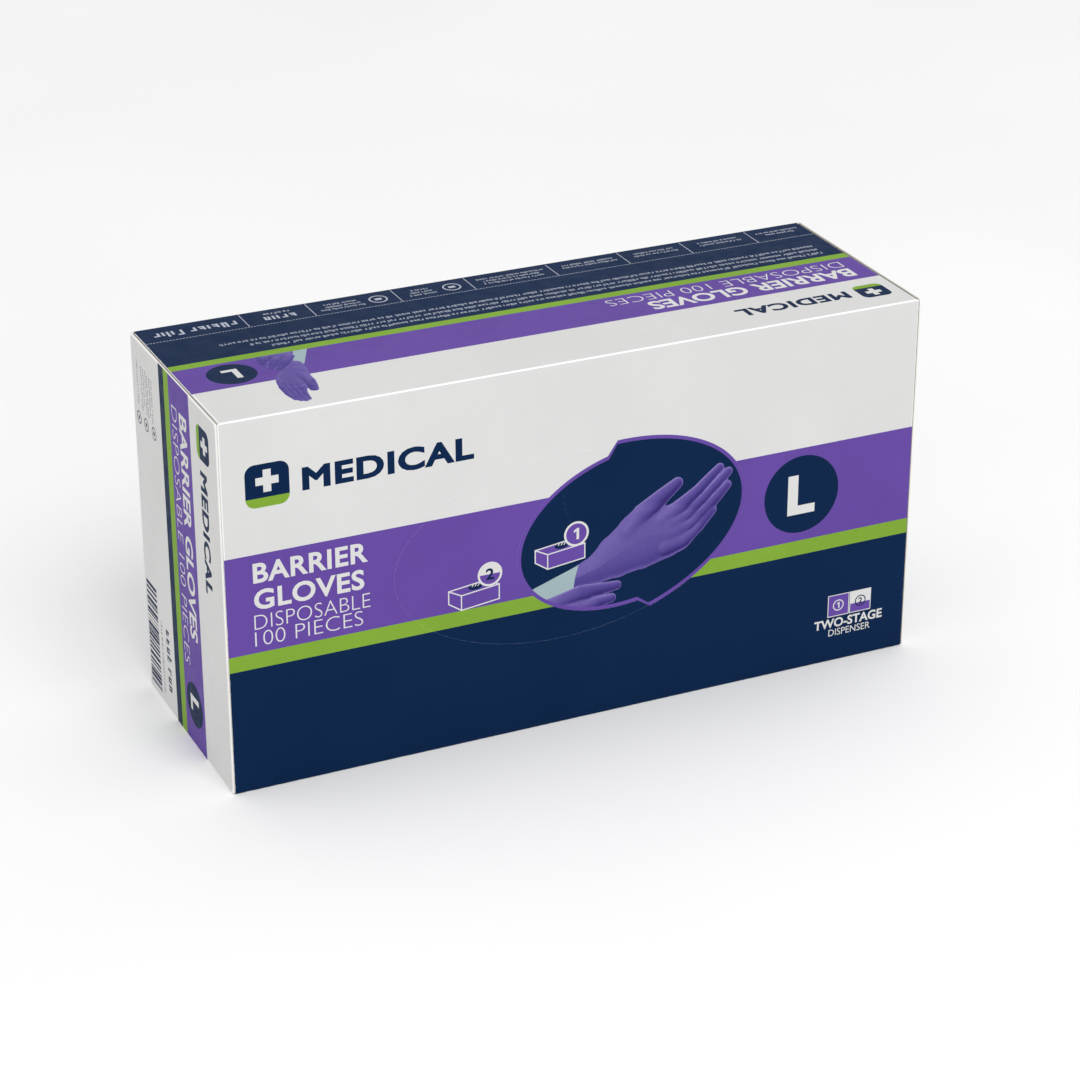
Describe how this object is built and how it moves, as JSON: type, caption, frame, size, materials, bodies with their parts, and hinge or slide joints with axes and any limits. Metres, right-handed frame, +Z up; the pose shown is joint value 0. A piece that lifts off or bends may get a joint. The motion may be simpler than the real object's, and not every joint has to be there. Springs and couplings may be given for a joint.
{
  "type": "disposable glove dispenser box",
  "caption": "Printed folding-carton dispenser of flat-packed disposable gloves, with an oval two-stage perforated tear-out in its front and folding glued end flaps.",
  "frame": {"origin": "on the table under the middle of the closed carton, which stands on a long narrow side", "axes": "+X along the front from left to right, +Y from the dispensing front to the back, +Z up"},
  "size_m": [0.245, 0.082, 0.128],
  "materials": {
    "printed_board": "offset printed, satin coating",
    "plain_board": "uncoated board",
    "dried_glue": "translucent hot melt",
    "nitrile": "matte, textured film"
  },
  "bodies": {
    "carton": {"front_panel": "printed_board", "top_panel": "printed_board", "back_panel": "printed_board", "bottom_panel": "printed_board", "seam_flap": "plain_board", "seam_glue": "dried_glue", "glove_layer_01": "nitrile", "glove_layer_02": "nitrile", "glove_layer_03": "nitrile", "glove_layer_04": "nitrile", "glove_layer_05": "nitrile", "glove_layer_06": "nitrile", "glove_layer_07": "nitrile", "glove_layer_08": "nitrile", "glove_layer_09": "nitrile", "glove_layer_10": "nitrile"},
    "tear_panel_1": {"tear_panel_1": "printed_board"},
    "tear_panel_2": {"tear_panel_2": "printed_board"},
    "left_outer_flap": {"left_outer_flap": "printed_board", "left_outer_flap_glue": "dried_glue"},
    "left_inner_flap": {"left_inner_flap": "plain_board", "left_inner_flap_glue": "dried_glue"},
    "left_top_dust_flap": {"left_top_dust_flap": "plain_board"},
    "left_bottom_dust_flap": {"left_bottom_dust_flap": "plain_board"},
    "right_outer_flap": {"right_outer_flap": "printed_board", "right_outer_flap_glue": "dried_glue"},
    "right_inner_flap": {"right_inner_flap": "plain_board", "right_inner_flap_glue": "dried_glue"},
    "right_top_dust_flap": {"right_top_dust_flap": "plain_board"},
    "right_bottom_dust_flap": {"right_bottom_dust_flap": "plain_board"}
  },
  "joints": [
    {"name": "tear_1_pull", "type": "slide", "parent": "carton", "child": "tear_panel_1", "axis": [0, -1, 0], "range_m": [0, 0.08]},
    {"name": "tear_2_pull", "type": "slide", "parent": "carton", "child": "tear_panel_2", "axis": [0, -1, 0], "range_m": [0, 0.08]},
    {"name": "left_outer_flap_fold", "type": "hinge", "parent": "carton", "child": "left_outer_flap", "pos_m": [-0.1225, 0.041, 0.064], "axis": [0, 0, -1], "range_deg": [0, 150]},
    {"name": "left_inner_flap_fold", "type": "hinge", "parent": "carton", "child": "left_inner_flap", "pos_m": [-0.1219, -0.041, 0.064], "axis": [0, 0, 1], "range_deg": [0, 120]},
    {"name": "left_top_dust_flap_fold", "type": "hinge", "parent": "carton", "child": "left_top_dust_flap", "pos_m": [-0.1213, 0, 0.128], "axis": [0, 1, 0], "range_deg": [0, 60]},
    {"name": "left_bottom_dust_flap_fold", "type": "hinge", "parent": "carton", "child": "left_bottom_dust_flap", "pos_m": [-0.1213, 0, 0], "axis": [0, -1, 0], "range_deg": [0, 60]},
    {"name": "right_outer_flap_fold", "type": "hinge", "parent": "carton", "child": "right_outer_flap", "pos_m": [0.1225, 0.041, 0.064], "axis": [0, 0, 1], "range_deg": [0, 150]},
    {"name": "right_inner_flap_fold", "type": "hinge", "parent": "carton", "child": "right_inner_flap", "pos_m": [0.1219, -0.041, 0.064], "axis": [0, 0, -1], "range_deg": [0, 120]},
    {"name": "right_top_dust_flap_fold", "type": "hinge", "parent": "carton", "child": "right_top_dust_flap", "pos_m": [0.1213, 0, 0.128], "axis": [0, -1, 0], "range_deg": [0, 60]},
    {"name": "right_bottom_dust_flap_fold", "type": "hinge", "parent": "carton", "child": "right_bottom_dust_flap", "pos_m": [0.1213, 0, 0], "axis": [0, 1, 0], "range_deg": [0, 60]}
  ],
  "couplings": [
    {"joint": "left_inner_flap_fold", "follows": "left_outer_flap_fold", "ratio": 0.8},
    {"joint": "left_top_dust_flap_fold", "follows": "left_outer_flap_fold", "ratio": 0.4},
    {"joint": "left_bottom_dust_flap_fold", "follows": "left_outer_flap_fold", "ratio": 0.4},
    {"joint": "right_inner_flap_fold", "follows": "right_outer_flap_fold", "ratio": 0.8},
    {"joint": "right_top_dust_flap_fold", "follows": "right_outer_flap_fold", "ratio": 0.4},
    {"joint": "right_bottom_dust_flap_fold", "follows": "right_outer_flap_fold", "ratio": 0.4}
  ]
}
